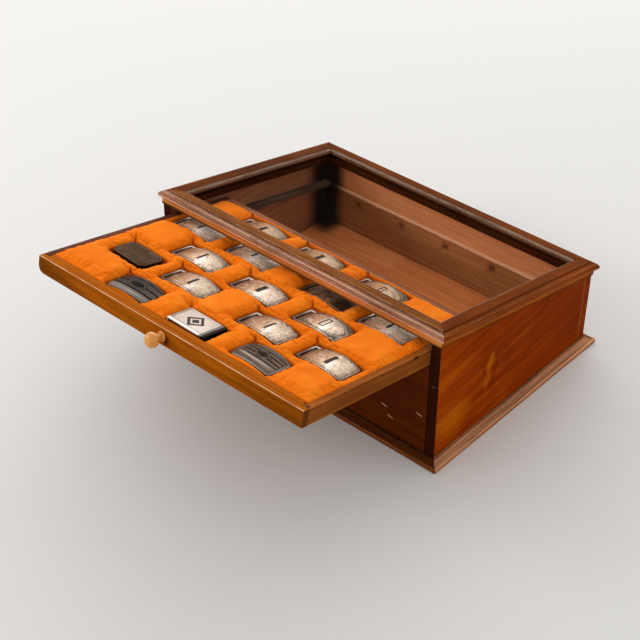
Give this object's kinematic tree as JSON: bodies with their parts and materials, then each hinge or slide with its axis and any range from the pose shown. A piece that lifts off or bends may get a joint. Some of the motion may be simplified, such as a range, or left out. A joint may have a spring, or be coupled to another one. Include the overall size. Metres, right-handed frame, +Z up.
{
  "type": "display case",
  "caption": "Table-top wooden display case with a sloping glazed top and a pull-out tray whose padded velvet liner holds metal belt buckles in fitted wells.",
  "frame": {"origin": "centre of the case's underside, on the surface that it stands on", "axes": "+X along the case's width, +Y from the tray's side to the back, +Z up"},
  "size_m": [0.3166, 0.3778, 0.1415],
  "materials": {
    "frame_wood": "worn red-brown varnish on mouldings",
    "side_wood": "glossy orange-brown varnish",
    "panel_wood": "dark red-brown varnish, lightly scratched",
    "inner_wood": "bare brown wood, dull",
    "tray_wood": "satin brown, straight grain",
    "facing_wood": "glossy golden-brown varnish",
    "knob_wood": "light turned wood, waxed",
    "orange_velvet": "orange velvet, padded",
    "worn_silver": "worn silver, tarnished at the edges",
    "dark_metal": "dark oxidised metal",
    "clear_glass": "clear"
  },
  "bodies": {
    "case": {"side_left": "side_wood", "side_right": "side_wood", "back_board": "side_wood", "front_panel": "panel_wood", "floor_board": "inner_wood", "back_lining": "inner_wood", "plinth_front": "frame_wood", "plinth_right": "frame_wood", "plinth_back": "frame_wood", "plinth_left": "frame_wood", "top_rail_front": "frame_wood", "top_rail_right": "frame_wood", "top_rail_back": "frame_wood", "top_rail_left": "frame_wood", "glass_pane": "clear_glass", "glazing_bead_front": "frame_wood", "glazing_bead_right": "frame_wood", "glazing_bead_back": "frame_wood", "glazing_bead_left": "frame_wood", "runner_left": "inner_wood", "runner_right": "inner_wood"},
    "tray": {"tray_facing": "facing_wood", "tray_inner_front": "tray_wood", "tray_side_left": "tray_wood", "tray_side_right": "tray_wood", "tray_back": "tray_wood", "tray_bottom": "tray_wood", "knob": "knob_wood", "velvet_liner": "orange_velvet", "buckle_1_1": "dark_metal", "buckle_1_2": "worn_silver", "buckle_1_3": "dark_metal", "buckle_2_1": "dark_metal", "buckle_2_2": "worn_silver", "buckle_2_3": "worn_silver", "buckle_2_4": "worn_silver", "buckle_3_1": "worn_silver", "buckle_3_2": "worn_silver", "buckle_3_3": "worn_silver", "buckle_4_1": "worn_silver", "buckle_4_2": "worn_silver", "buckle_4_3": "dark_metal", "buckle_4_4": "worn_silver", "buckle_5_1": "worn_silver", "buckle_5_2": "worn_silver", "buckle_5_3": "worn_silver"}
  },
  "joints": [
    {"name": "tray_slide", "type": "slide", "parent": "case", "child": "tray", "axis": [0, -0.9786, 0.2057], "range_m": [-0.1386, 0.0451]}
  ]
}
